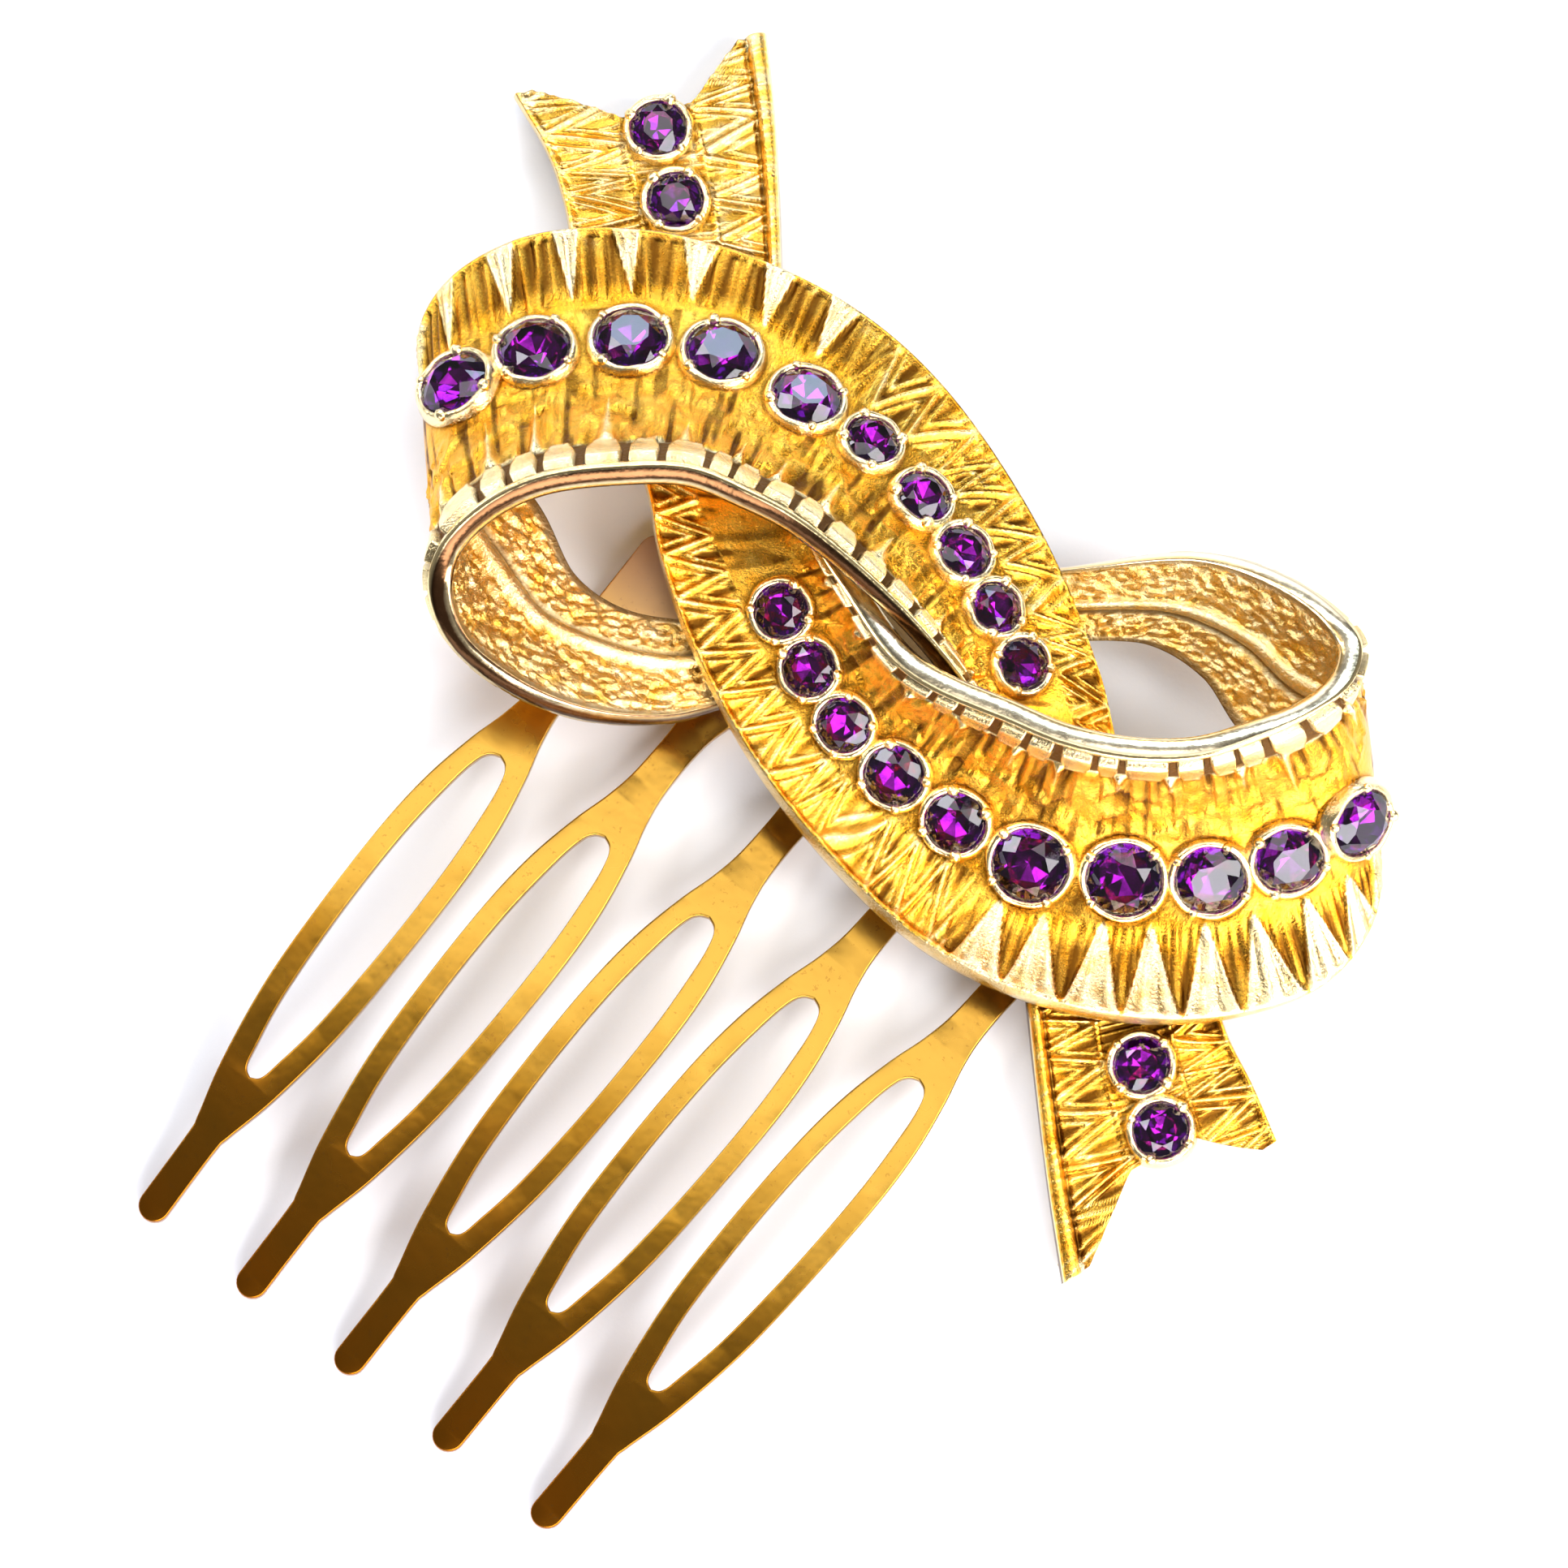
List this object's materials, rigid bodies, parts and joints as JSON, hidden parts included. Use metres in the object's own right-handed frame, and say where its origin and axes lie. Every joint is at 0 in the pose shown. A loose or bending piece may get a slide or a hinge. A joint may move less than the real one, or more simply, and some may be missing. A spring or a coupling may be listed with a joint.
{
  "type": "decorative hair comb",
  "caption": "Gilt bow of two cast ribbons set with purple chaton stones, soldered across the spine of a stamped comb with slotted, arched teeth.",
  "frame": {"origin": "middle of the part's box in X and Y, on the flat plane of the comb's back", "axes": "+Z out of the front of the bow, +Y from the tooth tips towards the bow, X along the comb's spine"},
  "size_m": [0.0772, 0.0816, 0.0146],
  "materials": {
    "bow_gilt": "polished gold plate with dark recesses",
    "comb_gilt": "polished gold plate, slightly worn",
    "solder": "dull grey-brown solder",
    "amethyst": "faceted purple glass"
  },
  "bodies": {
    "root": {"comb": "comb_gilt", "ribbon_upper": "bow_gilt", "ribbon_lower": "bow_gilt", "stone_upper_01": "amethyst", "stone_upper_02": "amethyst", "stone_upper_03": "amethyst", "stone_upper_04": "amethyst", "stone_upper_05": "amethyst", "stone_upper_06": "amethyst", "stone_upper_07": "amethyst", "stone_upper_08": "amethyst", "stone_upper_09": "amethyst", "stone_upper_10": "amethyst", "stone_upper_11": "amethyst", "stone_upper_12": "amethyst", "stone_lower_01": "amethyst", "stone_lower_02": "amethyst", "stone_lower_03": "amethyst", "stone_lower_04": "amethyst", "stone_lower_05": "amethyst", "stone_lower_06": "amethyst", "stone_lower_07": "amethyst", "stone_lower_08": "amethyst", "stone_lower_09": "amethyst", "stone_lower_10": "amethyst", "stone_lower_11": "amethyst", "stone_lower_12": "amethyst", "solder_left": "solder", "solder_middle": "solder", "solder_right": "solder"}
  },
  "joints": []
}
